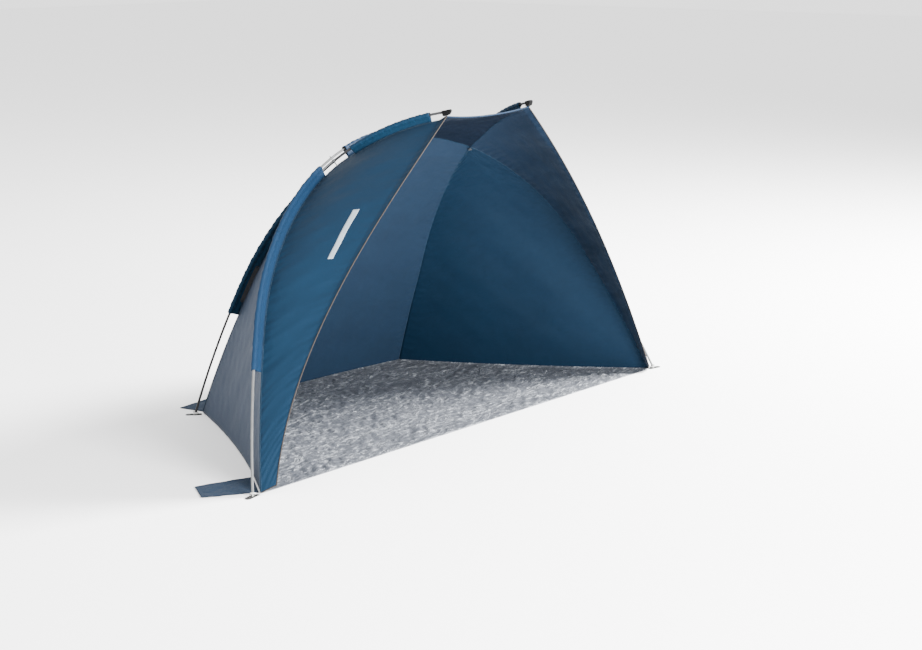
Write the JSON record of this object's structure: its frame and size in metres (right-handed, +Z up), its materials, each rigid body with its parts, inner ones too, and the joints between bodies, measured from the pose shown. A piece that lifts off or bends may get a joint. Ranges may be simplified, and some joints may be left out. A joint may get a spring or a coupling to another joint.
{
  "type": "beach shelter",
  "caption": "Open-fronted tarp shelter: three bent poles carry a sewn fabric canopy over a trapezoid groundsheet, with peg tabs and ground flaps.",
  "frame": {"origin": "on the ground at the centre of the whole object's footprint box", "axes": "+Z up, +X to the right along the open front, the open front faces -Y"},
  "size_m": [2.4272, 1.0551, 1.1389],
  "materials": {
    "floor_sheet": "silver-grey coated woven sheet, crinkled",
    "grey_polyester": "plain-weave polyester, grey outside and blue inside",
    "blue_polyester": "plain-weave polyester, satin",
    "navy_polyester": "plain-weave polyester, satin",
    "flap_cloth": "plain-weave polyester, matt",
    "tan_binding": "woven tape",
    "light_fibreglass": "satin fibreglass",
    "dark_fibreglass": "satin fibreglass",
    "ferrule_steel": "satin",
    "elastic": "braided elastic",
    "black_plastic": "moulded, fine grain",
    "white_nylon": "satin moulded",
    "black_webbing": "woven webbing",
    "eyelet_brass": "nickel plated"
  },
  "bodies": {
    "shelter": {"groundsheet": "floor_sheet", "roof_panel": "blue_polyester", "back_panel": "blue_polyester", "side_panel_left": "grey_polyester", "side_panel_right": "grey_polyester", "wing_panel_left": "blue_polyester", "wing_panel_right": "blue_polyester", "roof_binding": "blue_polyester", "front_binding_left": "tan_binding", "front_binding_right": "tan_binding", "arch_sleeve_left": "blue_polyester", "arch_sleeve_right": "blue_polyester", "arch_sleeve_roof": "blue_polyester", "rear_sleeve_left": "navy_polyester", "rear_sleeve_right": "navy_polyester", "front_sleeve_left": "blue_polyester", "front_sleeve_right": "blue_polyester", "vent_trim_left": "tan_binding", "vent_trim_right": "tan_binding", "arch_pole_1": "light_fibreglass", "arch_pole_2": "light_fibreglass", "arch_pole_3": "light_fibreglass", "arch_pole_4": "light_fibreglass", "arch_pole_5": "light_fibreglass", "arch_pole_6": "light_fibreglass", "left_pole_1": "dark_fibreglass", "left_pole_2": "dark_fibreglass", "left_pole_3": "dark_fibreglass", "right_pole_1": "dark_fibreglass", "right_pole_2": "dark_fibreglass", "right_pole_3": "dark_fibreglass", "arch_ferrules": "ferrule_steel", "left_ferrules": "ferrule_steel", "right_ferrules": "ferrule_steel", "arch_shock_cord": "elastic", "left_shock_cord": "elastic", "right_shock_cord": "elastic", "peak_cap_left": "black_plastic", "peak_cap_right": "black_plastic", "foot_front_left": "white_nylon", "foot_front_right": "white_nylon", "foot_rear_left": "white_nylon", "foot_rear_right": "white_nylon", "anchor_tab_front_left": "black_webbing", "anchor_tab_front_right": "black_webbing", "anchor_tab_rear_left": "black_webbing", "anchor_tab_rear_right": "black_webbing", "pin_eyelets": "eyelet_brass", "peg_eyelets": "eyelet_brass", "crossing_tie_left": "elastic", "crossing_tie_right": "elastic", "crossing_button_left": "black_plastic", "crossing_button_right": "black_plastic"},
    "front_flap_left": {"front_flap_left": "flap_cloth"},
    "front_flap_right": {"front_flap_right": "flap_cloth"},
    "rear_flap_left": {"rear_flap_left": "flap_cloth"},
    "rear_flap_right": {"rear_flap_right": "flap_cloth"}
  },
  "joints": [
    {"name": "front_flap_left_fold", "type": "hinge", "parent": "shelter", "child": "front_flap_left", "pos_m": [-1.05871, -0.45143, 0], "axis": [0.5938, 0.8046, 0], "range_deg": [0, 60]},
    {"name": "front_flap_right_fold", "type": "hinge", "parent": "shelter", "child": "front_flap_right", "pos_m": [1.05871, -0.45143, 0], "axis": [0.5938, -0.8046, 0], "range_deg": [0, 60]},
    {"name": "rear_flap_left_fold", "type": "hinge", "parent": "shelter", "child": "rear_flap_left", "pos_m": [-0.52008, 0.40301, 0], "axis": [0.9957, 0.0929, 0], "range_deg": [0, 90]},
    {"name": "rear_flap_right_fold", "type": "hinge", "parent": "shelter", "child": "rear_flap_right", "pos_m": [0.52008, 0.40301, 0], "axis": [0.9957, -0.0929, 0], "range_deg": [0, 90]}
  ]
}
